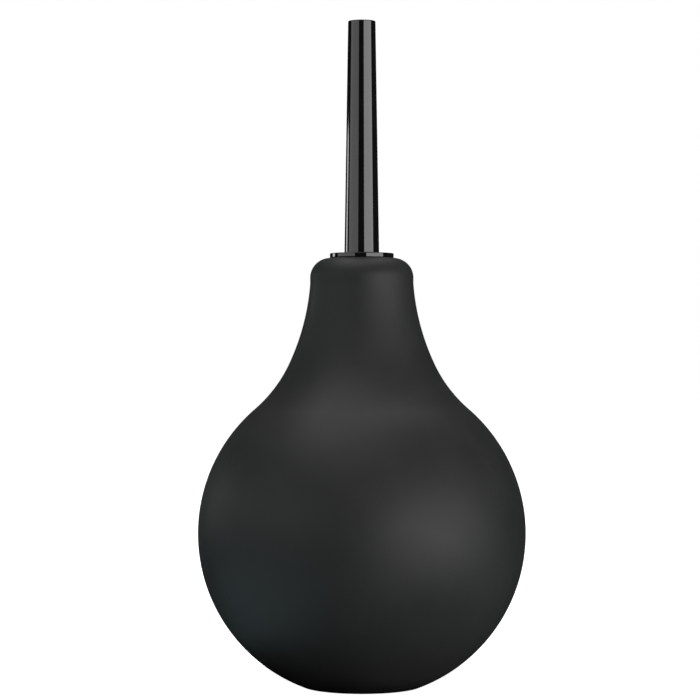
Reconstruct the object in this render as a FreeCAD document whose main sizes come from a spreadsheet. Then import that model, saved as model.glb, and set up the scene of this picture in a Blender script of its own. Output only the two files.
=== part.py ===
"""Dust blower bulb: a hollow rubber bulb, a push-in nozzle and an inlet valve in the foot.

Millimetres. +Z runs up the axis of revolution, and the origin is the centre of the foot.
Every size is a cell of the sheet "dims"; sketches, features and placements are bound to it.
"""

import FreeCAD, Part

import math
import os

import Sketcher
from FreeCAD import Vector

# --- driving dimensions -------------------------------------------------------------------

DIMENSIONS = {
    # bulb, outside
    "bulb_diameter": 66.0,
    "flare_radius": 27.3,
    "throat_radius": 46.6,
    "throat_angle": 20.5,
    "neck_taper": 4.5,
    "neck_straight": 1.667,
    "shoulder_radius": 4.0,
    # bulb, inside
    "bulb_wall": 2.5,
    "neck_bore": 10.5,
    "cavity_neck_radius": 12.0,
    "cavity_corner": 3.0,
    # foot
    "foot_ring": 3.2,
    "foot_gap": 1.1,
    "recess_gap": 1.4,
    "membrane": 2.4,
    "lip_round": 0.5,
    # nozzle
    "flange_overhang": 1.18,
    "flange_thickness": 0.95,
    "flange_round": 0.15,
    "nozzle_length": 46.8,
    "nozzle_root": 7.0,
    "root_wall": 1.1,
    "root_round": 0.2,
    "outlet_bore": 3.0,
    "outlet_land": 10.0,
    "tip_wall": 1.26,
    "tip_round": 0.1,
    "barb_count": 4,
    "barb_pitch": 2.8,
    "barb_land": 0.6,
    "barb_depth": 0.6,
    "spigot_plain": 1.8,
    # inlet valve flap
    "stem_diameter": 2.0,
    "stem_ledge": 0.5,
    "stem_bead_height": 0.5,
    "flap_lift": 0.8,
    "flap_cover": 0.6,
    "flap_rim": 0.35,
    "flap_crown": 0.95,
    # inlet valve seat
    "air_hole": 1.0,
    "air_hole_count": 6,
    "air_hole_web": 0.95,
    "pocket_gap": 0.4,
    "tail_gap": 0.15,
    "seat_wall": 1.05,
    "seat_grip": 2.9,
    "bead_grip": 1.5,
    "bead_height": 1.2,
    "bead_lead": 0.7,
    "seat_round": 0.25,
    # gap on each side of a fit, and how far a cut runs past the face that it opens
    "fit_clearance": 0.05,
    "cut_over": 1.0,
}

# --- sizes that follow from the driving ones, from the inside outwards ----------------------

# nozzle: the spigot fits the neck bore, and the flange covers it
INLET_BORE = "(dims.nozzle_root - 2 * dims.root_wall)"
TIP = "(dims.outlet_bore + 2 * dims.tip_wall)"
MOUTH = "(dims.flange_thickness + dims.nozzle_length)"
FLANGE = "(dims.neck_bore + 2 * dims.flange_overhang)"
BARB = "(dims.neck_bore - 2 * dims.fit_clearance)"
SPIGOT = f"({BARB} - 2 * dims.barb_depth)"
SPIGOT_LENGTH = "(dims.barb_count * dims.barb_pitch + dims.spigot_plain)"

# valve: stem, ring of air holes, pocket, seat, hole in the membrane, recess and foot
STEM_BORE = "(dims.stem_diameter + 2 * dims.fit_clearance)"
STEM_BEAD = "(dims.stem_diameter + 2 * dims.stem_ledge)"
AIR_CIRCLE = f"({STEM_BORE} + 2 * dims.air_hole_web + dims.air_hole)"
FLAP = f"({AIR_CIRCLE} + dims.air_hole + 2 * dims.flap_cover)"
SEAT_POCKET = f"({AIR_CIRCLE} + dims.air_hole + 2 * dims.pocket_gap)"
SEAT_WAIST = f"({SEAT_POCKET} + 2 * dims.seat_wall)"
VALVE_HOLE = f"({SEAT_WAIST} + 2 * dims.fit_clearance)"
SEAT_BEAD = f"({VALVE_HOLE} + 2 * dims.bead_grip)"
SEAT_FLANGE = f"({VALVE_HOLE} + 2 * dims.seat_grip)"
RECESS = f"({SEAT_FLANGE} + 2 * dims.recess_gap)"
FOOT = f"({RECESS} + 2 * dims.foot_ring)"

BEAD_DROP = "(dims.flap_lift + dims.fit_clearance)"
TAIL_DROP = f"({BEAD_DROP} + dims.stem_bead_height)"
SEAT_DEPTH = f"({TAIL_DROP} + dims.tail_gap)"
RECESS_DEPTH = f"({SEAT_DEPTH} + dims.foot_gap)"
SEAT_SHOULDER = "(dims.membrane + dims.fit_clearance)"
SEAT_TOP = f"({SEAT_SHOULDER} + dims.bead_height)"

FLOOR = f"({RECESS_DEPTH} + dims.membrane)"

# heights that the bulb's outline measures
NECK_TOP = "(bulb_outline.Constraints.neck_top / 1 mm)"
CAVITY_TOP = f"({NECK_TOP} + dims.cut_over)"
BALL_HEIGHT = "(bulb_outline.Constraints.ball_height / 1 mm)"

doc = FreeCAD.newDocument("dust_blower_bulb")
dims = doc.addObject("Spreadsheet::Sheet", "dims")
for row, (alias, value) in enumerate(DIMENSIONS.items(), start=1):
    dims.set(f"A{row}", alias)
    dims.set(f"B{row}", str(value))
    dims.setAlias(f"B{row}", alias)
doc.recompute()


# --- helpers ------------------------------------------------------------------------------

# a sketch's own origin and axes, and the ends of a line or arc
ORIGIN, H_AXIS, V_AXIS = -1, -1, -2
START, END, CENTRE = 1, 2, 3

# how near two places or sizes are when they count as the same
SAME_PLACE = 1e-3


def new_body(name):
    body = doc.addObject("PartDesign::Body", name)
    body.Label = name
    return body


def new_sketch(body, name, role="XZ_Plane"):
    """A sketch on one of the body's own origin planes."""
    sketch = body.newObject("Sketcher::SketchObject", name)
    plane = next(f for f in body.Origin.OriginFeatures if f.Role == role)
    sketch.AttachmentSupport = [(plane, "")]
    sketch.MapMode = "FlatFace"
    doc.recompute()
    return sketch


def number(sketch, expression):
    return float(sketch.evalExpression(expression))


def bind(sketch, name, expression, kind, *where):
    """Add a dimensional constraint and bind it to an expression."""
    value = number(sketch, expression)
    if kind == "Angle":
        value = math.radians(value)
    index = sketch.addConstraint(Sketcher.Constraint(kind, *where, value))
    sketch.renameConstraint(index, name)
    unit = " * 1 deg" if kind == "Angle" else ""
    sketch.setExpression(f"Constraints.{name}", f"({expression}){unit}")


def measure(sketch, name, kind, *where):
    """Add a reference constraint, which other expressions can read."""
    index = sketch.addConstraint(Sketcher.Constraint(kind, *where, 1.0))
    sketch.setDriving(index, False)
    sketch.renameConstraint(index, name)


def join(sketch, first, first_end, second, second_end, kind="Coincident"):
    sketch.addConstraint(Sketcher.Constraint(kind, first, first_end, second, second_end))


def arc(sketch, centre, radius, start, end):
    """A counter-clockwise arc between two angles in radians."""
    circle = Part.Circle(Vector(*centre, 0), Vector(0, 0, 1), radius)
    return sketch.addGeometry(Part.ArcOfCircle(circle, start, end), False)


def line(sketch, start, end):
    return sketch.addGeometry(Part.LineSegment(Vector(*start, 0), Vector(*end, 0)), False)


def polyline(sketch, corners):
    """Open run of lines through corners, each an (across, up) pair of expressions."""
    points = [(number(sketch, x), number(sketch, y)) for x, y in corners]
    lines = [line(sketch, start, end) for start, end in zip(points, points[1:])]
    for first, second in zip(lines, lines[1:]):
        join(sketch, first, END, second, START)
    ends = [(piece, START) for piece in lines] + [(lines[-1], END)]
    for i, ((piece, end), point, (x, y)) in enumerate(zip(ends, points, corners), start=1):
        place(sketch, f"corner{i}", piece, end, point, x, y)
    return lines


def polygon(sketch, corners):
    """Closed outline through corners."""
    lines = polyline(sketch, corners)
    points = [(number(sketch, x), number(sketch, y)) for x, y in (corners[-1], corners[0])]
    closing = line(sketch, *points)
    join(sketch, lines[-1], END, closing, START)
    join(sketch, closing, END, lines[0], START)


def place(sketch, name, piece, end, point, x, y):
    """Fix a point by its distances from the sketch's own axes."""
    for axis, letter, value, expression in ((V_AXIS, "X", point[0], x), (H_AXIS, "Y", point[1], y)):
        if abs(value) < SAME_PLACE:
            sketch.addConstraint(Sketcher.Constraint("PointOnObject", piece, end, axis))
        elif value > 0:
            bind(sketch, name + letter, expression, "Distance" + letter, ORIGIN, START, piece, end)
        else:
            expression = f"-({expression})"
            bind(sketch, name + letter, expression, "Distance" + letter, piece, end, ORIGIN, START)


def add_circle(sketch, name, diameter, x="0"):
    """A circle on the sketch's horizontal axis."""
    centre = (number(sketch, x), 0)
    radius = number(sketch, diameter) / 2
    circle = sketch.addGeometry(Part.Circle(Vector(*centre, 0), Vector(0, 0, 1), radius), False)
    place(sketch, name + "_at", circle, CENTRE, centre, x, "0")
    bind(sketch, name, diameter, "Diameter", circle)


def revolve(body, name, sketch):
    feature = body.newObject("PartDesign::Revolution", name)
    feature.Profile = sketch
    feature.ReferenceAxis = (sketch, ["V_Axis"])
    feature.Angle = 360
    doc.recompute()
    return feature


def cut(feature):
    """Recompute, and refuse a cut that takes nothing away."""
    doc.recompute()
    if feature.Shape.Volume >= feature.BaseFeature.Shape.Volume:
        raise RuntimeError(feature.Name + " removes nothing")


def groove(body, name, sketch):
    feature = body.newObject("PartDesign::Groove", name)
    feature.Profile = sketch
    feature.ReferenceAxis = (sketch, ["V_Axis"])
    feature.Angle = 360
    cut(feature)
    return feature


def pocket(body, name, sketch, depth):
    """A pocket upwards from the XY plane."""
    feature = body.newObject("PartDesign::Pocket", name)
    feature.Profile = sketch
    feature.Type = "Length"
    feature.Reversed = True
    feature.setExpression("Length", depth)
    cut(feature)
    return feature


def round_edges(body, name, size, rings):
    """Fillet the circular edges named by (radius, height) pairs of expressions."""
    base = body.Tip
    wanted = [(number(base, radius), number(base, height)) for radius, height in rings]
    edges = []
    for index, edge in enumerate(base.Shape.Edges, start=1):
        curve = edge.Curve
        if curve.TypeId != "Part::GeomCircle":
            continue
        if math.hypot(curve.Center.x, curve.Center.y) > SAME_PLACE:
            continue
        if any(math.hypot(curve.Radius - r, curve.Center.z - z) < SAME_PLACE for r, z in wanted):
            edges.append(f"Edge{index}")
    if len(edges) != len(rings):
        raise RuntimeError(f"{name}: found {len(edges)} edges for {len(rings)} rings")
    feature = body.newObject("PartDesign::Fillet", name)
    feature.Base = (base, edges)
    feature.setExpression("Radius", size)
    doc.recompute()
    return feature


# --- bulb ---------------------------------------------------------------------------------

def bulb_outline(body):
    """Outside of the bulb: ball, flare, throat, tapered neck and shoulder, all tangent."""
    sketch = new_sketch(body, "bulb_outline")
    ball_r, foot_r = dims.bulb_diameter / 2, number(sketch, FOOT) / 2
    flare_r, throat_r = dims.flare_radius, dims.throat_radius
    top_r, shoulder_r = number(sketch, FLANGE) / 2, dims.shoulder_radius
    taper = math.radians(dims.neck_taper)
    turn = taper + math.radians(dims.throat_angle)

    # where the arcs meet, so that the solver starts at its answer
    rise, run = dims.neck_straight * math.cos(taper), dims.neck_straight * math.sin(taper)
    neck_r = top_r + shoulder_r * math.cos(taper) + run
    throat_x = neck_r + throat_r * math.cos(taper)
    flare_x = throat_x - (throat_r - flare_r) * math.cos(turn)
    flank = math.acos(flare_x / (ball_r + flare_r))
    ball_z = math.sqrt(ball_r ** 2 - foot_r ** 2)
    flare_z = ball_z + (ball_r + flare_r) * math.sin(flank)
    throat_z = flare_z + (throat_r - flare_r) * math.sin(turn)
    neck_z = throat_z - throat_r * math.sin(taper)
    shoulder_z = neck_z + rise - shoulder_r * math.sin(taper)
    top_z = shoulder_z + shoulder_r

    foot = line(sketch, (0, 0), (foot_r, 0))
    ball = arc(sketch, (0, ball_z), ball_r, -math.acos(foot_r / ball_r), flank)
    flare = arc(sketch, (flare_x, flare_z), flare_r, math.pi + turn, math.pi + flank)
    throat = arc(sketch, (throat_x, throat_z), throat_r, math.pi + taper, math.pi + turn)
    neck = line(sketch, (neck_r, neck_z), (neck_r - run, neck_z + rise))
    shoulder = arc(sketch, (top_r, shoulder_z), shoulder_r, taper, math.pi / 2)
    top = line(sketch, (top_r, top_z), (0, top_z))
    axis = line(sketch, (0, top_z), (0, 0))

    join(sketch, foot, START, ORIGIN, START)
    sketch.addConstraint(Sketcher.Constraint("Horizontal", foot))
    bind(sketch, "foot", FOOT + " / 2", "DistanceX", foot)
    join(sketch, foot, END, ball, START)
    sketch.addConstraint(Sketcher.Constraint("PointOnObject", ball, CENTRE, V_AXIS))
    bind(sketch, "ball", "dims.bulb_diameter / 2", "Radius", ball)
    join(sketch, ball, END, flare, END, "Tangent")
    bind(sketch, "flare", "dims.flare_radius", "Radius", flare)
    join(sketch, flare, START, throat, END, "Tangent")
    bind(sketch, "throat", "dims.throat_radius", "Radius", throat)
    bind(sketch, "throat_turn", "dims.throat_angle", "Angle", throat)
    join(sketch, throat, START, neck, START, "Tangent")
    bind(sketch, "taper", "90 + dims.neck_taper", "Angle", neck)
    bind(sketch, "straight", "dims.neck_straight", "Distance", neck)
    join(sketch, neck, END, shoulder, START, "Tangent")
    bind(sketch, "shoulder", "dims.shoulder_radius", "Radius", shoulder)
    join(sketch, shoulder, END, top, START, "Tangent")
    bind(sketch, "top", FLANGE + " / 2", "DistanceX", ORIGIN, START, top, START)
    sketch.addConstraint(Sketcher.Constraint("Horizontal", top))
    sketch.addConstraint(Sketcher.Constraint("PointOnObject", top, END, V_AXIS))
    join(sketch, top, END, axis, START)
    join(sketch, axis, END, foot, START)
    measure(sketch, "ball_height", "DistanceY", ORIGIN, START, ball, CENTRE)
    measure(sketch, "neck_top", "DistanceY", ORIGIN, START, top, START)
    doc.recompute()
    return sketch


def cavity_outline(body):
    """Air chamber: flat floor, round corner, ball, and an arc into the neck bore."""
    sketch = new_sketch(body, "cavity_outline")
    ball_r = dims.bulb_diameter / 2 - dims.bulb_wall
    ball_z = number(sketch, BALL_HEIGHT)
    floor_z = number(sketch, FLOOR)
    corner_r, bore_r, into_r = dims.cavity_corner, dims.neck_bore / 2, dims.cavity_neck_radius
    corner_z = floor_z + corner_r
    corner_x = math.sqrt((ball_r - corner_r) ** 2 - (ball_z - corner_z) ** 2)
    corner_end = math.atan2(corner_z - ball_z, corner_x)
    into_x = bore_r + into_r
    flank = math.acos(into_x / (ball_r + into_r))
    into_z = ball_z + (ball_r + into_r) * math.sin(flank)
    top_z = number(sketch, CAVITY_TOP)

    floor = line(sketch, (0, floor_z), (corner_x, floor_z))
    corner = arc(sketch, (corner_x, corner_z), corner_r, -math.pi / 2, corner_end)
    ball = arc(sketch, (0, ball_z), ball_r, corner_end, flank)
    into = arc(sketch, (into_x, into_z), into_r, math.pi, math.pi + flank)
    bore = line(sketch, (bore_r, into_z), (bore_r, top_z))
    top = line(sketch, (bore_r, top_z), (0, top_z))
    axis = line(sketch, (0, top_z), (0, floor_z))

    sketch.addConstraint(Sketcher.Constraint("PointOnObject", floor, START, V_AXIS))
    sketch.addConstraint(Sketcher.Constraint("Horizontal", floor))
    bind(sketch, "floor", FLOOR, "DistanceY", ORIGIN, START, floor, START)
    join(sketch, floor, END, corner, START, "Tangent")
    bind(sketch, "corner", "dims.cavity_corner", "Radius", corner)
    join(sketch, corner, END, ball, START, "Tangent")
    sketch.addConstraint(Sketcher.Constraint("PointOnObject", ball, CENTRE, V_AXIS))
    bind(sketch, "ball_height", BALL_HEIGHT, "DistanceY", ORIGIN, START, ball, CENTRE)
    bind(sketch, "ball", "dims.bulb_diameter / 2 - dims.bulb_wall", "Radius", ball)
    join(sketch, ball, END, into, END, "Tangent")
    bind(sketch, "into_neck", "dims.cavity_neck_radius", "Radius", into)
    join(sketch, into, START, bore, START, "Tangent")
    sketch.addConstraint(Sketcher.Constraint("Vertical", bore))
    bind(sketch, "bore", "dims.neck_bore / 2", "DistanceX", ORIGIN, START, bore, START)
    join(sketch, bore, END, top, START)
    sketch.addConstraint(Sketcher.Constraint("Horizontal", top))
    bind(sketch, "top", CAVITY_TOP, "DistanceY", ORIGIN, START, top, START)
    sketch.addConstraint(Sketcher.Constraint("PointOnObject", top, END, V_AXIS))
    join(sketch, top, END, axis, START)
    join(sketch, axis, END, floor, START)
    doc.recompute()
    return sketch


def make_bulb():
    body = new_body("bulb")
    revolve(body, "bulb_solid", bulb_outline(body))
    groove(body, "air_chamber", cavity_outline(body))

    recess = new_sketch(body, "recess_outline", "XY_Plane")
    add_circle(recess, "recess", RECESS)
    pocket(body, "foot_recess", recess, RECESS_DEPTH)

    hole = new_sketch(body, "valve_hole_outline", "XY_Plane")
    add_circle(hole, "hole", VALVE_HOLE)
    pocket(body, "valve_hole", hole, FLOOR + " + dims.cut_over")

    round_edges(body, "foot_lip", "dims.lip_round", [(RECESS + " / 2", "0")])
    return body


# --- nozzle -------------------------------------------------------------------------------

def make_nozzle():
    """Tapered tube, flange and barbed spigot; its own zero is the flange's underside."""
    body = new_body("nozzle")
    outline = new_sketch(body, "nozzle_outline")
    polygon(outline, [
        (INLET_BORE + " / 2", "-" + SPIGOT_LENGTH),
        (SPIGOT + " / 2", "-" + SPIGOT_LENGTH),
        (SPIGOT + " / 2", "0"),
        (FLANGE + " / 2", "0"),
        (FLANGE + " / 2", "dims.flange_thickness"),
        ("dims.nozzle_root / 2", "dims.flange_thickness"),
        (TIP + " / 2", MOUTH),
        ("dims.outlet_bore / 2", MOUTH),
        ("dims.outlet_bore / 2", MOUTH + " - dims.outlet_land"),
        (INLET_BORE + " / 2", "dims.flange_thickness"),
    ])
    revolve(body, "nozzle_solid", outline)

    barb = new_sketch(body, "barb_outline")
    barb_top = f"-{SPIGOT_LENGTH} + dims.barb_pitch"
    polygon(barb, [
        (SPIGOT + " / 2", f"-{SPIGOT_LENGTH} + dims.barb_land"),
        (BARB + " / 2", barb_top),
        (SPIGOT + " / 2", barb_top),
    ])
    first = revolve(body, "barb", barb)
    barbs = body.newObject("PartDesign::LinearPattern", "barbs")
    barbs.Originals = [first]
    barbs.Direction = (barb, ["V_Axis"])
    barbs.Mode = "Spacing"
    barbs.setExpression("Offset", "dims.barb_pitch")
    barbs.setExpression("Occurrences", "dims.barb_count")
    body.Tip = barbs
    doc.recompute()

    round_edges(body, "flange_edges", "dims.flange_round",
                [(FLANGE + " / 2", "0"), (FLANGE + " / 2", "dims.flange_thickness")])
    round_edges(body, "nozzle_foot", "dims.root_round",
                [("dims.nozzle_root / 2", "dims.flange_thickness")])
    round_edges(body, "nozzle_lip", "dims.tip_round", [(TIP + " / 2", MOUTH)])
    body.setExpression("Placement.Base.z", NECK_TOP)
    return body


# --- inlet valve --------------------------------------------------------------------------

def make_inlet_valve_seat():
    """Grommet that grips the membrane; its own zero is the membrane's lower face."""
    body = new_body("inlet_valve_seat")
    outline = new_sketch(body, "seat_outline")
    polygon(outline, [
        (STEM_BORE + " / 2", "0"),
        (SEAT_POCKET + " / 2", "0"),
        (SEAT_POCKET + " / 2", "-" + SEAT_DEPTH),
        (SEAT_FLANGE + " / 2", "-" + SEAT_DEPTH),
        (SEAT_FLANGE + " / 2", "0"),
        (SEAT_WAIST + " / 2", "0"),
        (SEAT_WAIST + " / 2", SEAT_SHOULDER),
        (SEAT_BEAD + " / 2", SEAT_SHOULDER),
        (SEAT_BEAD + " / 2", SEAT_TOP + " - dims.bead_lead"),
        (SEAT_BEAD + " / 2 - dims.bead_lead", SEAT_TOP),
        (STEM_BORE + " / 2", SEAT_TOP),
    ])
    revolve(body, "seat_solid", outline)

    hole = new_sketch(body, "air_hole_outline", "XY_Plane")
    add_circle(hole, "hole", "dims.air_hole", AIR_CIRCLE + " / 2")
    first = pocket(body, "air_hole", hole, SEAT_TOP + " + dims.cut_over")
    holes = body.newObject("PartDesign::PolarPattern", "air_holes")
    holes.Originals = [first]
    holes.Axis = (hole, ["N_Axis"])
    holes.Angle = 360
    holes.setExpression("Occurrences", "dims.air_hole_count")
    body.Tip = holes
    doc.recompute()

    round_edges(body, "seat_edges", "dims.seat_round",
                [(SEAT_FLANGE + " / 2", "-" + SEAT_DEPTH), (SEAT_POCKET + " / 2", "-" + SEAT_DEPTH)])
    body.setExpression("Placement.Base.z", RECESS_DEPTH)
    return body


def flap_outline(body):
    """Domed cap, stem and retaining bead; its own zero is the seat's top face."""
    sketch = new_sketch(body, "flap_outline")
    rim_r, rim_z, crown_z = number(sketch, FLAP) / 2, dims.flap_rim, dims.flap_crown
    dome_r = (rim_r ** 2 + (crown_z - rim_z) ** 2) / (2 * (crown_z - rim_z))
    bead_z, tail_z = f"-({SEAT_TOP} + {BEAD_DROP})", f"-({SEAT_TOP} + {TAIL_DROP})"
    lines = polyline(sketch, [
        ("0", "dims.flap_crown"),
        ("0", tail_z),
        ("dims.stem_diameter / 2", tail_z),
        (STEM_BEAD + " / 2", bead_z),
        ("dims.stem_diameter / 2", bead_z),
        ("dims.stem_diameter / 2", "0"),
        (FLAP + " / 2", "0"),
        (FLAP + " / 2", "dims.flap_rim"),
    ])
    dome = arc(sketch, (0, crown_z - dome_r), dome_r, math.acos(rim_r / dome_r), math.pi / 2)
    join(sketch, dome, END, lines[0], START)
    join(sketch, lines[-1], END, dome, START)
    sketch.addConstraint(Sketcher.Constraint("PointOnObject", dome, CENTRE, V_AXIS))
    doc.recompute()
    return sketch


def make_inlet_valve_flap():
    body = new_body("inlet_valve_flap")
    revolve(body, "flap_solid", flap_outline(body))
    body.setExpression("Placement.Base.z", f"{RECESS_DEPTH} + {SEAT_TOP}")
    return body


# --- build, check and write ---------------------------------------------------------------

def check(pieces):
    for item in doc.Objects:
        if "Invalid" in item.State or "Error" in item.State:
            raise RuntimeError(f"{item.Name} failed: {item.State}")
        if item.isDerivedFrom("Sketcher::SketchObject") and item.solve() != 0:
            raise RuntimeError(f"{item.Name} does not solve")
        if item.isDerivedFrom("Sketcher::SketchObject") and not item.FullyConstrained:
            raise RuntimeError(f"{item.Name} is not fully constrained")
    for piece in pieces:
        shape = piece.Shape
        if shape.isNull() or not shape.isValid() or len(shape.Solids) != 1:
            raise RuntimeError(piece.Label + " is not one valid solid")


def main():
    pieces = [make_bulb(), make_nozzle(), make_inlet_valve_seat(), make_inlet_valve_flap()]
    doc.recompute()
    check(pieces)
    os.makedirs("parts", exist_ok=True)
    for piece in pieces:
        piece.Shape.exportStep(os.path.join("parts", piece.Label + ".step"))
        box = piece.Shape.optimalBoundingBox()
        print(f"{piece.Label}: {piece.Shape.Volume:.1f} mm3, z {box.ZMin:.3f} to {box.ZMax:.3f},"
              f" radius {box.XMax:.3f}")


main()
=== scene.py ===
"""Dust blower bulb: rubber bulb, gloss nozzle and inlet valve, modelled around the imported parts."""

import math

import bmesh
import bpy
from bpy.props import FloatProperty, FloatVectorProperty, IntProperty, PointerProperty
from mathutils import Matrix, Vector


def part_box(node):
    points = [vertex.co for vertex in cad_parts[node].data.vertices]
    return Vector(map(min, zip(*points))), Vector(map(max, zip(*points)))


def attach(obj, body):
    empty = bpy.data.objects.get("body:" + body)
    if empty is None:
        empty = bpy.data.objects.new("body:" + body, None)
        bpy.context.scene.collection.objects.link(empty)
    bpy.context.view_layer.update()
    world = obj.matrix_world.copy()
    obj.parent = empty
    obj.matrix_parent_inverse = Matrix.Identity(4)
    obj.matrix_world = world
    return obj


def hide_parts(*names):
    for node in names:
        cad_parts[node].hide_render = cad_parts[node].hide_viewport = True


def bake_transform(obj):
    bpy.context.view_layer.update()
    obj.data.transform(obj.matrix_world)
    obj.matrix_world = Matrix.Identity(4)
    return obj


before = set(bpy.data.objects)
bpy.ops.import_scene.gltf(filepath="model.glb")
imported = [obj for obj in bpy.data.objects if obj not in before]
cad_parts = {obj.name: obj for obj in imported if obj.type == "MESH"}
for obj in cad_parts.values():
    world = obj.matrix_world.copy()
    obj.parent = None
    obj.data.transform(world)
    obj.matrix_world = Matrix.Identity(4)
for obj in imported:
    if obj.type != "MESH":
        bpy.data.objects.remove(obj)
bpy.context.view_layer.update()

bl_info = {
    "name": "Dust Blower Bulb",
    "version": (1, 0, 0),
    "blender": (4, 5, 0),
    "location": "3D View > Sidebar > Dust Blower",
    "description": "Builds a squeeze bulb with a push-in nozzle and an inlet valve",
    "category": "Add Mesh",
}

BULB_LOW, BULB_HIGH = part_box("bulb")
NOZZLE_LOW, NOZZLE_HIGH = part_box("nozzle")
SEAT_LOW, SEAT_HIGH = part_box("inlet_valve_seat")
FLAP_LOW, FLAP_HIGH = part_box("inlet_valve_flap")

INTO, UP = Vector((0, 1, 0)), Vector((0, 0, 1))
SHARP_ANGLE = math.radians(32)
SAME_PLACE = 1e-7
FLOOR_GAP = 0.0001
SENSOR_WIDTH = 36.0


# --- settings -----------------------------------------------------------------------------

def length(name, description, default):
    return FloatProperty(name=name, description=description, default=default, min=0.0,
                         precision=5, subtype="DISTANCE", unit="LENGTH")


def turn(name, description, degrees):
    return FloatProperty(name=name, description=description, default=math.radians(degrees),
                         subtype="ANGLE", unit="ROTATION")


def tone(name, description, default):
    return FloatVectorProperty(name=name, description=description, default=default, size=3,
                               min=0.0, max=1.0, subtype="COLOR")


class BulbSettings(bpy.types.PropertyGroup):
    ball_radius: length("Ball radius", "Outside radius of the ball", BULB_HIGH.x)
    neck_top: length("Neck top", "Height of the neck's flat top", BULB_HIGH.z)
    foot_radius: length("Foot radius", "Outer radius of the flat foot", 0.012)
    foot_round: length("Foot rounding", "Radius of the foot's outer edge", 0.00018)
    flare_radius: length("Flare radius", "Hollow curve above the ball", 0.0273)
    throat_radius: length("Throat radius", "Longer hollow curve below the neck", 0.0466)
    throat_turn: turn("Throat turn", "How far the throat curve turns", 20.5)
    neck_taper: turn("Neck taper", "Lean of the neck's straight part", 4.5)
    shoulder_radius: length("Shoulder radius", "Rounding between neck and top", 0.004)
    wall: length("Wall", "Thickness of the ball's wall", 0.0025)
    neck_bore: length("Neck bore", "Radius of the hole in the neck", 0.00525)
    into_neck: length("Chamber lead", "Rounding from the air chamber into the bore", 0.012)
    floor_corner: length("Floor corner", "Rounding round the chamber's floor", 0.003)
    recess_radius: length("Recess radius", "Radius of the hollow under the foot", 0.0088)
    recess_depth: length("Recess depth", "Depth of the hollow under the foot", 0.0026)
    membrane: length("Membrane", "Thickness of the rubber round the valve", 0.0024)
    valve_hole: length("Valve hole", "Radius of the hole for the valve seat", 0.0045)
    lip_round: length("Lip rounding", "Radius of the recess's edge", 0.0005)
    segments: IntProperty(name="Segments", description="Steps round the axis", default=192, min=24)
    colour: tone("Colour", "Rubber", (0.0190, 0.0198, 0.0196))
    colour_worn: tone("Rubbed colour", "Rubber where it is a little dry", (0.0222, 0.0230, 0.0228))


class NozzleSettings(bpy.types.PropertyGroup):
    flange_thickness: length("Flange thickness", "Thickness of the round flange", 0.00095)
    flange_round: length("Flange rounding", "Radius of the flange's edges", 0.00015)
    root_radius: length("Root radius", "Tube radius at the flange", 0.0035)
    root_round: length("Root rounding", "Fillet between tube and flange", 0.0002)
    tip_radius: length("Tip radius", "Tube radius at the mouth", 0.00276)
    tip_round: length("Tip rounding", "Radius of the mouth's outer edge", 0.0001)
    outlet_radius: length("Outlet radius", "Bore radius at the mouth", 0.0015)
    outlet_land: length("Outlet land", "Length of the straight bore at the mouth", 0.01)
    inlet_radius: length("Inlet radius", "Bore radius below the flange", 0.0024)
    spigot_radius: length("Spigot radius", "Core of the part inside the neck", 0.0046)
    barb_radius: length("Barb radius", "Crest of the barbs", 0.0052)
    barb_pitch: length("Barb pitch", "Distance from barb to barb", 0.0028)
    barb_land: length("Barb land", "Plain stretch under each barb", 0.0006)
    barb_count: IntProperty(name="Barbs", description="Number of barbs", default=4, min=1)
    segments: IntProperty(name="Segments", description="Steps round the axis", default=128, min=24)
    colour: tone("Colour", "Gloss plastic", (0.0040, 0.0040, 0.0042))


class ValveSettings(bpy.types.PropertyGroup):
    seat_shoulder: length("Seat shoulder", "Height of the grip above the recess", 0.00245)
    bead_radius: length("Bead radius", "Upper bead of the seat", 0.006)
    bead_lead: length("Bead lead", "Slope on the upper bead", 0.0007)
    waist_radius: length("Waist radius", "Seat inside the membrane", 0.00445)
    pocket_radius: length("Pocket radius", "Hollow under the seat", 0.0034)
    edge_round: length("Edge rounding", "Radius of the seat's edges", 0.00025)
    stem_bore: length("Stem bore", "Radius of the seat's middle hole", 0.00105)
    hole_radius: length("Air hole radius", "Radius of each air hole", 0.0005)
    hole_circle: length("Air hole circle", "Radius that the air holes stand on", 0.0025)
    hole_count: IntProperty(name="Air holes", description="Number of air holes", default=6, min=2)
    stem_radius: length("Stem radius", "Flap's stem", 0.001)
    stem_bead: length("Stem bead", "Radius of the bead that holds the flap", 0.0015)
    stem_bead_height: length("Stem bead height", "Height of that bead", 0.0005)
    flap_rim: length("Flap rim", "Thickness at the flap's edge", 0.00035)
    segments: IntProperty(name="Segments", description="Steps round the axis", default=96, min=24)
    seat_colour: tone("Seat colour", "Satin plastic", (0.022, 0.022, 0.024))
    flap_colour: tone("Flap colour", "Soft grey rubber", (0.105, 0.11, 0.115))


class StageSettings(bpy.types.PropertyGroup):
    camera_distance: length("Camera distance", "From the bulb's axis", 0.462)
    camera_height: length("Camera height", "Above the floor", 0.0676)
    camera_offset: length("Camera offset", "How far the camera stands left of the axis", 0.00238)
    lens: FloatProperty(name="Lens", description="Focal length on a 36 mm sensor, in mm",
                        default=117.8, min=1.0)
    floor_size: length("Floor size", "Side of the square floor", 6.0)
    card_radius: length("Card radius", "Dark card under the foot", 0.035)
    floor_colour: tone("Floor colour", "Pale floor", (0.86, 0.86, 0.86))
    floor_glow: FloatProperty(name="Floor glow", description="Light that the floor gives off",
                              default=1.0, min=0.0)
    room: FloatProperty(name="Room light", description="Brightness of the dark studio round it",
                        default=0.015, min=0.0)


SETTINGS = {
    "blower_bulb": BulbSettings,
    "blower_nozzle": NozzleSettings,
    "blower_valve": ValveSettings,
    "blower_stage": StageSettings,
}


# --- outlines and turned pieces -----------------------------------------------------------

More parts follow.
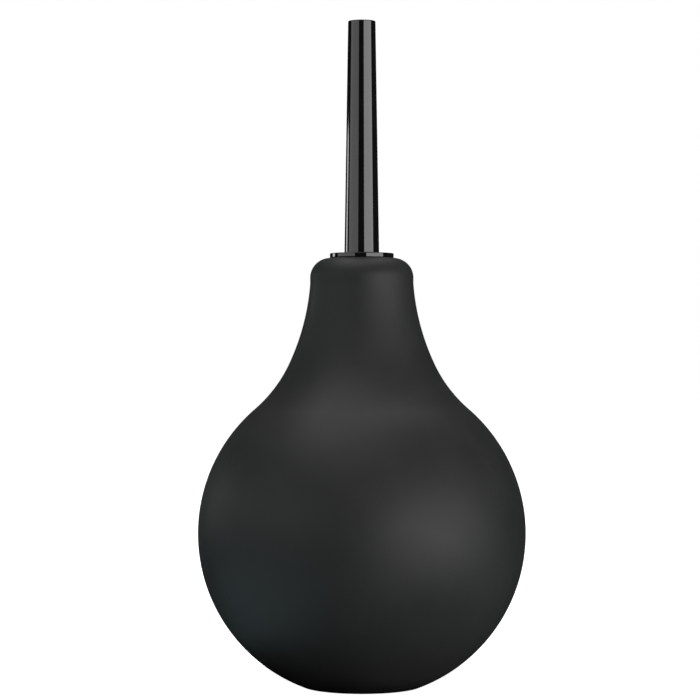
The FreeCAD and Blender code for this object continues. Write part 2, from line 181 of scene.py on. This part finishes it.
class Outline:
    """Half section of a turned piece, drawn as edges in the plane of X and Z."""

    def __init__(self, across, up):
        self.bm = bmesh.new()
        self.first = self.last = self.bm.verts.new((across, 0, up))

    def line(self, across, up, steps=1, hold=0.0):
        """A straight run to a point, in equal steps.

        Hold adds a point that far from each end, so that gloss stays straight up to a rounding.
        """
        start = self.last.co.copy()
        run = Vector((across, 0, up)) - start
        stops = [(i + 1) / steps for i in range(steps)]
        if hold:
            stops = sorted([hold / run.length, 1 - hold / run.length, *stops])
        for stop in stops:
            made = bmesh.ops.extrude_vert_indiv(self.bm, verts=[self.last])
            self.last = made["verts"][0]
            self.last.co = start + run * stop

    def arc(self, across, up, angle, steps):
        """A round stretch about a centre; a positive angle turns from across to up."""
        made = bmesh.ops.spin(self.bm, geom=[self.last], cent=(across, 0, up), axis=-INTO,
                              angle=angle, steps=steps)
        self.last = next(g for g in made["geom_last"] if isinstance(g, bmesh.types.BMVert))

    def close(self):
        """Joins the last point to the first."""
        bmesh.ops.contextual_create(self.bm, geom=[self.last, self.first])

    def turned(self, segments):
        """Spins the outline once round the Z axis and gives the bmesh."""
        bmesh.ops.spin(self.bm, geom=self.bm.verts[:] + self.bm.edges[:], cent=(0, 0, 0), axis=UP,
                       angle=math.tau, steps=segments, use_merge=True)
        bmesh.ops.remove_doubles(self.bm, verts=self.bm.verts[:], dist=SAME_PLACE)
        bmesh.ops.recalc_face_normals(self.bm, faces=self.bm.faces[:])
        return self.bm


def finished(name, bm, material, body, node):
    """Makes the object from a bmesh, and ties it to its CAD body and node."""
    mesh = bpy.data.meshes.new(name)
    bm.to_mesh(mesh)
    bm.free()
    mesh.shade_smooth()
    mesh.set_sharp_from_angle(angle=SHARP_ANGLE)
    piece = bpy.data.objects.new(name, mesh)
    bpy.context.scene.collection.objects.link(piece)
    mesh.materials.append(material)
    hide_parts(node)
    if body:
        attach(piece, body)
    return piece


# --- materials ----------------------------------------------------------------------------

BLACK, WHITE = (0, 0, 0, 1), (1, 1, 1, 1)

def new_group(name, inputs, outputs):
    """An empty shader node group with float or colour sockets."""
    group = bpy.data.node_groups.new(name, "ShaderNodeTree")
    for label, kind, default in inputs:
        socket = group.interface.new_socket(name=label, in_out="INPUT", socket_type=kind)
        socket.default_value = default
    for label, kind in outputs:
        group.interface.new_socket(name=label, in_out="OUTPUT", socket_type=kind)
    return group, group.nodes.new("NodeGroupInput"), group.nodes.new("NodeGroupOutput")


def noise(tree, coordinates, detail, roughness):
    """A noise texture on the given coordinates; its scale is left to the caller."""
    node = tree.nodes.new("ShaderNodeTexNoise")
    node.inputs["Detail"].default_value = detail
    node.inputs["Roughness"].default_value = roughness
    tree.links.new(coordinates, node.inputs["Vector"])
    return node


def maths(tree, operation, first, second):
    """One sum of two values or sockets."""
    node = tree.nodes.new("ShaderNodeMath")
    node.operation = operation
    for value, socket in ((first, node.inputs[0]), (second, node.inputs[1])):
        if isinstance(value, float):
            socket.default_value = value
        else:
            tree.links.new(value, socket)
    return node.outputs[0]


def moulded_grain_group():
    """Height of a moulded skin: fine grain, and slow waves from the mould."""
    group, given, result = new_group(
        "moulded grain",
        [("Grain Scale", "NodeSocketFloat", 4000.0), ("Grain Depth", "NodeSocketFloat", 1.0),
         ("Wave Scale", "NodeSocketFloat", 120.0), ("Wave Depth", "NodeSocketFloat", 1.0)],
        [("Height", "NodeSocketFloat")],
    )
    place = group.nodes.new("ShaderNodeTexCoord").outputs["Object"]
    grain = noise(group, place, 3.0, 0.55)
    wave = noise(group, place, 2.0, 0.5)
    group.links.new(given.outputs["Grain Scale"], grain.inputs["Scale"])
    group.links.new(given.outputs["Wave Scale"], wave.inputs["Scale"])
    fine = maths(group, "MULTIPLY", grain.outputs["Fac"], given.outputs["Grain Depth"])
    slow = maths(group, "MULTIPLY", wave.outputs["Fac"], given.outputs["Wave Depth"])
    group.links.new(maths(group, "ADD", fine, slow), result.inputs["Height"])
    return group


def handled_finish_group():
    """Colour and roughness that drift a little over the surface, as handling leaves them."""
    group, given, result = new_group(
        "handled finish",
        [("Colour", "NodeSocketColor", BLACK), ("Rubbed Colour", "NodeSocketColor", BLACK),
         ("Smooth", "NodeSocketFloat", 0.4), ("Dry", "NodeSocketFloat", 0.5),
         ("Scale", "NodeSocketFloat", 60.0)],
        [("Colour", "NodeSocketColor"), ("Roughness", "NodeSocketFloat")],
    )
    place = group.nodes.new("ShaderNodeTexCoord").outputs["Object"]
    drift = noise(group, place, 5.0, 0.6)
    group.links.new(given.outputs["Scale"], drift.inputs["Scale"])
    spread = group.nodes.new("ShaderNodeMapRange")
    spread.interpolation_type = "SMOOTHSTEP"
    spread.inputs["From Min"].default_value = 0.32
    spread.inputs["From Max"].default_value = 0.68
    group.links.new(drift.outputs["Fac"], spread.inputs["Value"])
    blend = group.nodes.new("ShaderNodeMix")
    blend.data_type = "RGBA"
    rough = group.nodes.new("ShaderNodeMix")
    for node in (blend, rough):
        group.links.new(spread.outputs["Result"], node.inputs["Factor"])
    group.links.new(given.outputs["Colour"], blend.inputs["A"])
    group.links.new(given.outputs["Rubbed Colour"], blend.inputs["B"])
    group.links.new(given.outputs["Smooth"], rough.inputs["A"])
    group.links.new(given.outputs["Dry"], rough.inputs["B"])
    group.links.new(blend.outputs["Result"], result.inputs["Colour"])
    group.links.new(rough.outputs["Result"], result.inputs["Roughness"])
    return group


def shared_group(name, make):
    """The node group of that name, made the first time that it is asked for."""
    return bpy.data.node_groups.get(name) or make()


def moulded_material(name, colours, roughness, drift_scale, grain, waves, bump, sheen=0.5):
    """A moulded plastic or rubber: a finish that drifts a little, over a fine grain.

    Colours and roughness are pairs to drift between, grain and waves are a scale and a depth,
    and bump is a strength and a distance.
    """
    material = bpy.data.materials.new(name)
    material.use_nodes = True
    tree = material.node_tree
    shader = tree.nodes["Principled BSDF"]
    shader.inputs["Specular IOR Level"].default_value = sheen

    finish = tree.nodes.new("ShaderNodeGroup")
    finish.node_tree = shared_group("handled finish", handled_finish_group)
    for socket, value in (
        ("Colour", (*colours[0], 1)), ("Rubbed Colour", (*colours[1], 1)),
        ("Smooth", roughness[0]), ("Dry", roughness[1]), ("Scale", drift_scale),
    ):
        finish.inputs[socket].default_value = value
    tree.links.new(finish.outputs["Colour"], shader.inputs["Base Color"])
    tree.links.new(finish.outputs["Roughness"], shader.inputs["Roughness"])

    skin = tree.nodes.new("ShaderNodeGroup")
    skin.node_tree = shared_group("moulded grain", moulded_grain_group)
    for socket, value in zip(("Grain Scale", "Grain Depth", "Wave Scale", "Wave Depth"),
                             (*grain, *waves)):
        skin.inputs[socket].default_value = value
    relief = tree.nodes.new("ShaderNodeBump")
    relief.inputs["Strength"].default_value = bump[0]
    relief.inputs["Distance"].default_value = bump[1]
    tree.links.new(skin.outputs["Height"], relief.inputs["Height"])
    tree.links.new(relief.outputs["Normal"], shader.inputs["Normal"])
    return material


def lighter(colour, factor):
    """The same colour with more of every channel."""
    return tuple(channel * factor for channel in colour)


# --- pieces -------------------------------------------------------------------------------

class MESH_OT_blower_bulb(bpy.types.Operator):
    """Model the hollow rubber bulb"""

    bl_idname = "mesh.blower_bulb"
    bl_label = "Rubber Bulb"

    def execute(self, context):
        s = context.scene.blower_bulb
        material = moulded_material(
            "bulb rubber", (s.colour, s.colour_worn), roughness=(0.49, 0.56), drift_scale=70.0,
            grain=(5200.0, 1.0), waves=(260.0, 1.5), bump=(0.35, 0.00002), sheen=0.25,
        )
        bm = self.outline(s).turned(s.segments)
        bulb = finished("rubber_bulb", bm, material, None, "bulb")
        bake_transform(bulb)
        return {"FINISHED"}

    @staticmethod
    def ball_centre(s):
        """Height of the ball's centre, so that the ball meets the floor at the foot's edge."""
        return math.sqrt(s.ball_radius ** 2 - s.foot_radius ** 2)

    @staticmethod
    def flank(s):
        """Where the ball turns into the flare, as an angle, and how far out the flare's centre is."""
        top = NOZZLE_HIGH.x
        lean = math.cos(s.neck_taper)
        run = top + s.shoulder_radius * lean
        throat = run + s.throat_radius * lean
        flare = throat - (s.throat_radius - s.flare_radius) * math.cos(s.neck_taper + s.throat_turn)
        return math.acos(flare / (s.ball_radius + s.flare_radius)), flare

    def flare_start(self, s):
        """Height at which the ball ends and the flare begins."""
        angle, _ = self.flank(s)
        return self.ball_centre(s) + s.ball_radius * math.sin(angle)

    def outline(self, s):
        """Foot, ball, flare, throat, neck and shoulder, then the bore, chamber and recess."""
        flank, flare_x = self.flank(s)
        lean = s.neck_taper + s.throat_turn
        ball_z = self.ball_centre(s)
        flare_z = ball_z + (s.ball_radius + s.flare_radius) * math.sin(flank)
        throat_x = flare_x + (s.throat_radius - s.flare_radius) * math.cos(lean)
        throat_z = flare_z + (s.throat_radius - s.flare_radius) * math.sin(lean)
        inner = s.ball_radius - s.wall

        edge = math.asin((ball_z - s.foot_round) / (s.ball_radius - s.foot_round))
        edge_x = (s.ball_radius - s.foot_round) * math.cos(edge)
        shape = Outline(edge_x, 0)
        shape.arc(edge_x, s.foot_round, math.pi / 2 - edge, steps=4)
        shape.arc(0, ball_z, edge + flank, steps=72)
        shape.arc(flare_x, flare_z, lean - flank, steps=18)
        shape.arc(throat_x, throat_z, s.neck_taper - lean, steps=16)
        top_x, shoulder_z = NOZZLE_HIGH.x, s.neck_top - s.shoulder_radius
        shape.line(top_x + s.shoulder_radius * math.cos(s.neck_taper),
                   shoulder_z + s.shoulder_radius * math.sin(s.neck_taper), steps=2)
        shape.arc(top_x, shoulder_z, math.pi / 2 - s.neck_taper, steps=14)
        shape.line(s.neck_bore + s.lip_round, s.neck_top, steps=2)

        into_x = s.neck_bore + s.into_neck
        into = math.acos(into_x / (inner + s.into_neck))
        into_z = ball_z + (inner + s.into_neck) * math.sin(into)
        shape.arc(s.neck_bore + s.lip_round, s.neck_top - s.lip_round, math.pi / 2, steps=5)
        shape.line(s.neck_bore, into_z, steps=3)
        shape.arc(into_x, into_z, into, steps=14)
        floor = s.recess_depth + s.membrane
        corner_z = floor + s.floor_corner
        corner = math.asin((ball_z - corner_z) / (inner - s.floor_corner))
        corner_x = (inner - s.floor_corner) * math.cos(corner)
        shape.arc(0, ball_z, -into - corner, steps=60)
        shape.arc(corner_x, corner_z, corner - math.pi / 2, steps=6)
        shape.line(s.valve_hole, floor, steps=5)
        shape.line(s.valve_hole, s.recess_depth, steps=2)
        shape.line(s.recess_radius, s.recess_depth, steps=3)
        shape.line(s.recess_radius, s.lip_round, steps=2)
        shape.arc(s.recess_radius + s.lip_round, s.lip_round, math.pi / 2, steps=5)
        shape.close()
        return shape


class MESH_OT_blower_nozzle(bpy.types.Operator):
    """Model the tapered nozzle with its flange and barbed spigot"""

    bl_idname = "mesh.blower_nozzle"
    bl_label = "Nozzle"

    def execute(self, context):
        s = context.scene.blower_nozzle
        material = moulded_material(
            "nozzle plastic", (s.colour, lighter(s.colour, 1.4)),
            roughness=(0.035, 0.075), drift_scale=160.0,
            grain=(2600.0, 0.25), waves=(190.0, 1.0), bump=(0.12, 0.00001),
        )
        bm = self.outline(s).turned(s.segments)
        finished("gloss_nozzle", bm, material, "nozzle", "nozzle")
        return {"FINISHED"}

    @staticmethod
    def outline(s):
        """Barbed spigot, flange, tapered tube and mouth, then back down the bore."""
        base, seat, mouth = NOZZLE_LOW.z, BULB_HIGH.z, NOZZLE_HIGH.z
        flange, face = NOZZLE_HIGH.x, BULB_HIGH.z + s.flange_thickness
        corner = s.flange_round
        shape = Outline(s.inlet_radius, base)
        shape.line(s.spigot_radius, base)
        for i in range(s.barb_count):
            foot = base + i * s.barb_pitch
            shape.line(s.spigot_radius, foot + s.barb_land)
            shape.line(s.barb_radius, foot + s.barb_pitch, steps=2)
            shape.line(s.spigot_radius, foot + s.barb_pitch)
        shape.line(s.spigot_radius, seat)
        shape.line(flange - corner, seat, steps=2)
        shape.arc(flange - corner, seat + corner, math.pi / 2, steps=9)
        shape.line(flange, face - corner, hold=corner / 3)
        shape.arc(flange - corner, face - corner, math.pi / 2, steps=9)

        rise = mouth - face
        lean = math.atan((s.root_radius - s.tip_radius) / rise)
        root_x = s.root_radius + s.root_round * (1 / math.cos(lean) - math.tan(lean))
        shape.line(root_x, face, steps=4, hold=corner)
        shape.arc(root_x, face + s.root_round, lean - math.pi / 2, steps=6)
        tip_x = s.tip_radius - s.tip_round * (1 / math.cos(lean) - math.tan(lean))
        shape.line(tip_x + s.tip_round * math.cos(lean),
                   mouth - s.tip_round + s.tip_round * math.sin(lean), steps=40, hold=s.tip_round)
        shape.arc(tip_x, mouth - s.tip_round, math.pi / 2 - lean, steps=6)
        lip = s.tip_round / 2
        shape.line(s.outlet_radius + lip, mouth)
        shape.arc(s.outlet_radius + lip, mouth - lip, math.pi / 2, steps=4)
        shape.line(s.outlet_radius, mouth - s.outlet_land, steps=4)
        shape.line(s.inlet_radius, face, steps=8)
        shape.line(s.inlet_radius, base + lip, steps=4)
        shape.close()
        return shape


class MESH_OT_blower_valve(bpy.types.Operator):
    """Model the perforated valve seat and the umbrella flap on it"""

    bl_idname = "mesh.blower_valve"
    bl_label = "Inlet Valve"

    def execute(self, context):
        s = context.scene.blower_valve
        plastic = moulded_material(
            "valve plastic", (s.seat_colour, lighter(s.seat_colour, 1.5)),
            roughness=(0.34, 0.46), drift_scale=400.0,
            grain=(6000.0, 1.0), waves=(500.0, 1.0), bump=(0.3, 0.00002),
        )
        rubber = moulded_material(
            "flap rubber", (s.flap_colour, lighter(s.flap_colour, 1.25)),
            roughness=(0.45, 0.6), drift_scale=500.0,
            grain=(7000.0, 1.0), waves=(600.0, 1.0), bump=(0.35, 0.00002),
        )
        bm = self.seat_outline(s, context.scene.blower_bulb.recess_depth).turned(s.segments)
        seat = finished("valve_seat", bm, plastic, "inlet_valve",
                        "inlet_valve_seat")
        self.bore_air_holes(s, seat)
        bm = self.flap_outline(s).turned(s.segments)
        finished("valve_flap", bm, rubber, "valve_flap", "inlet_valve_flap")
        return {"FINISHED"}

    @staticmethod
    def seat_outline(s, ceiling):
        """Lower flange with a pocket, waist in the membrane and upper bead with a slope."""
        low, top, flange, corner = SEAT_LOW.z, SEAT_HIGH.z, SEAT_HIGH.x, s.edge_round
        shoulder = ceiling + s.seat_shoulder
        shape = Outline(s.stem_bore, ceiling)
        shape.line(s.pocket_radius, ceiling, steps=2)
        shape.line(s.pocket_radius, low + corner, steps=2)
        shape.arc(s.pocket_radius + corner, low + corner, math.pi / 2, steps=5)
        shape.line(flange - corner, low, steps=3)
        shape.arc(flange - corner, low + corner, math.pi / 2, steps=5)
        shape.line(flange, ceiling)
        shape.line(s.waist_radius, ceiling, steps=2)
        shape.line(s.waist_radius, shoulder, steps=2)
        shape.line(s.bead_radius, shoulder)
        shape.line(s.bead_radius, top - s.bead_lead)
        shape.line(s.bead_radius - s.bead_lead, top)
        shape.line(s.stem_bore, top, steps=4)
        shape.close()
        return shape

    @staticmethod
    def bore_air_holes(s, seat):
        """Cuts the ring of air holes through the seat's web."""
        bm = bmesh.new()
        step = Matrix.Rotation(math.tau / s.hole_count, 3, UP)
        for _ in range(s.hole_count):
            bmesh.ops.rotate(bm, verts=bm.verts[:], cent=(0, 0, 0), matrix=step)
            made = bmesh.ops.create_cone(bm, cap_ends=True, segments=24, radius1=s.hole_radius,
                                         radius2=s.hole_radius, depth=2 * SEAT_HIGH.z)
            bmesh.ops.translate(bm, verts=made["verts"], vec=(s.hole_circle, 0, SEAT_HIGH.z))
        mesh = bpy.data.meshes.new("air holes")
        bm.to_mesh(mesh)
        bm.free()
        drills = bpy.data.objects.new("air holes", mesh)
        bpy.context.scene.collection.objects.link(drills)
        cut = seat.modifiers.new("air holes", "BOOLEAN")
        cut.object = drills
        cut.operation = "DIFFERENCE"
        bored = bpy.data.meshes.new_from_object(
            seat.evaluated_get(bpy.context.evaluated_depsgraph_get()))
        seat.modifiers.remove(cut)
        bpy.data.objects.remove(drills)
        seat.data = bored
        bored.shade_smooth()
        bored.set_sharp_from_angle(angle=SHARP_ANGLE)

    @staticmethod
    def flap_outline(s):
        """Domed cap, stem and retaining bead, closed on the axis."""
        low, crown, rim = FLAP_LOW.z, FLAP_HIGH.z, FLAP_HIGH.x
        face = SEAT_HIGH.z
        rise = crown - face - s.flap_rim
        dome = (rim ** 2 + rise ** 2) / (2 * rise)
        shape = Outline(0, low)
        shape.line(s.stem_radius, low, steps=2)
        shape.line(s.stem_bead, low + s.stem_bead_height)
        shape.line(s.stem_radius, low + s.stem_bead_height)
        shape.line(s.stem_radius, face, steps=3)
        shape.line(rim, face, steps=3)
        shape.line(rim, face + s.flap_rim)
        shape.arc(0, crown - dome, math.asin(rim / dome), steps=16)
        return shape


# --- stage --------------------------------------------------------------------------------

PLAIN, COOL = (1.0, 1.0, 1.0), (0.7, 1.0, 1.06)

# name: degrees round from the camera, degrees up, distance, width, height, brightness, tint
SOFTBOXES = {
    "right softbox": (49, 1.5, 0.8, 1.04, 0.48, 4.6, PLAIN),
    "left softbox": (-61, 11, 0.8, 1.16, 0.25, 1.8, PLAIN),
    "overhead softbox": (-125, 81, 0.8, 1.2, 0.7, 2.2, PLAIN),
    "low left softbox": (-78, -36, 0.8, 1.2, 0.5, 0.85, COOL),
    "low right softbox": (105, -24, 0.8, 0.5, 0.5, 0.22, COOL),
    "rim softbox": (-122, 5.8, 0.9, 0.24, 0.11, 4.4, PLAIN),
}


class SCENE_OT_blower_stage(bpy.types.Operator):
    """Set up the floor, the softboxes and the camera"""

    bl_idname = "scene.blower_stage"
    bl_label = "Stage"

    def execute(self, context):
        s = context.scene.blower_stage
        self.floor(s)
        self.shade_card(s)
        self.room(s)
        for name, box in SOFTBOXES.items():
            self.softbox(name, *box)
        self.camera(s)
        context.scene.view_settings.view_transform = "Standard"
        return {"FINISHED"}

    @staticmethod
    def prop(name, bm):
        """A stage object just under the foot, so that no two faces share a plane."""
        bmesh.ops.translate(bm, verts=bm.verts[:], vec=(0, 0, -FLOOR_GAP))
        mesh = bpy.data.meshes.new(name)
        bm.to_mesh(mesh)
        bm.free()
        prop = bpy.data.objects.new(name, mesh)
        bpy.context.scene.collection.objects.link(prop)
        return prop

    def shade_card(self, s):
        """A dark card under the foot, unseen, that keeps the low lights off the underside."""
        bm = bmesh.new()
        bmesh.ops.create_circle(bm, cap_ends=True, segments=96, radius=s.card_radius)
        card = self.prop("shade_card", bm)
        material = bpy.data.materials.new("shade card")
        material.use_nodes = True
        shader = material.node_tree.nodes["Principled BSDF"]
        shader.inputs["Base Color"].default_value = BLACK
        card.data.materials.append(material)
        card.visible_camera = False

    def floor(self, s):
        bm = bmesh.new()
        bmesh.ops.create_grid(bm, x_segments=1, y_segments=1, size=s.floor_size / 2)
        floor = self.prop("floor", bm)
        material = bpy.data.materials.new("pale floor")
        material.use_nodes = True
        shader = material.node_tree.nodes["Principled BSDF"]
        shader.inputs["Base Color"].default_value = (*s.floor_colour, 1)
        shader.inputs["Roughness"].default_value = 0.9
        shader.inputs["Emission Color"].default_value = WHITE
        shader.inputs["Emission Strength"].default_value = s.floor_glow
        floor.data.materials.append(material)
        floor.visible_glossy = False
        floor.visible_diffuse = False
        floor.visible_shadow = False

    @staticmethod
    def room(s):
        """White where the camera looks, and a dim studio for the light."""
        world = bpy.data.worlds.new("studio")
        world.use_nodes = True
        tree = world.node_tree
        tree.nodes.clear()
        dim = tree.nodes.new("ShaderNodeBackground")
        dim.inputs["Color"].default_value = (s.room, s.room, s.room, 1)
        white = tree.nodes.new("ShaderNodeBackground")
        white.inputs["Color"].default_value = WHITE
        path = tree.nodes.new("ShaderNodeLightPath")
        mix = tree.nodes.new("ShaderNodeMixShader")
        output = tree.nodes.new("ShaderNodeOutputWorld")
        tree.links.new(path.outputs["Is Camera Ray"], mix.inputs["Fac"])
        tree.links.new(dim.outputs[0], mix.inputs[1])
        tree.links.new(white.outputs[0], mix.inputs[2])
        tree.links.new(mix.outputs[0], output.inputs["Surface"])
        bpy.context.scene.world = world

    @staticmethod
    def softbox(name, compass, height_angle, distance, width, height, brightness, tint):
        light = bpy.data.lights.new(name, "AREA")
        light.color = tint
        light.shape = "RECTANGLE"
        light.size, light.size_y = width, height
        light.energy = brightness * math.pi * width * height
        box = bpy.data.objects.new(name, light)
        bpy.context.scene.collection.objects.link(box)
        a, e = math.radians(compass), math.radians(height_angle)
        toward = Vector((math.sin(a) * math.cos(e), -math.cos(a) * math.cos(e), math.sin(e)))
        box.location = UP * (NOZZLE_HIGH.z / 2) + toward * distance
        box.rotation_mode = "QUATERNION"
        box.rotation_quaternion = toward.to_track_quat("Z", "Y")
        box.visible_camera = False

    @staticmethod
    def camera(s):
        data = bpy.data.cameras.new("camera")
        data.lens = s.lens
        data.sensor_width = SENSOR_WIDTH
        data.clip_start, data.clip_end = 0.01, 20.0
        camera = bpy.data.objects.new("camera", data)
        bpy.context.scene.collection.objects.link(camera)
        camera.location = (-s.camera_offset, -s.camera_distance, s.camera_height)
        camera.rotation_euler = (math.pi / 2, 0, 0)
        bpy.context.scene.camera = camera


# --- panel and registration ---------------------------------------------------------------

OPERATORS = (
    MESH_OT_blower_bulb,
    MESH_OT_blower_nozzle,
    MESH_OT_blower_valve,
    SCENE_OT_blower_stage,
)


class VIEW3D_PT_dust_blower(bpy.types.Panel):
    """Lists the pieces and their sizes"""

    bl_label = "Dust Blower"
    bl_space_type = "VIEW_3D"
    bl_region_type = "UI"
    bl_category = "Dust Blower"

    def draw(self, context):
        for (name, group), operator in zip(SETTINGS.items(), OPERATORS):
            box = self.layout.box()
            box.operator(operator.bl_idname)
            for key in group.__annotations__:
                box.prop(getattr(context.scene, name), key)


CLASSES = (*SETTINGS.values(), *OPERATORS, VIEW3D_PT_dust_blower)


def register():
    for cls in CLASSES:
        bpy.utils.register_class(cls)
    for name, group in SETTINGS.items():
        setattr(bpy.types.Scene, name, PointerProperty(type=group))


def unregister():
    for name in SETTINGS:
        delattr(bpy.types.Scene, name)
    for cls in reversed(CLASSES):
        bpy.utils.unregister_class(cls)


def main():
    register()
    bpy.ops.mesh.blower_bulb()
    bpy.ops.mesh.blower_nozzle()
    bpy.ops.mesh.blower_valve()
    bpy.ops.scene.blower_stage()


if __name__ == "__main__":
    main()
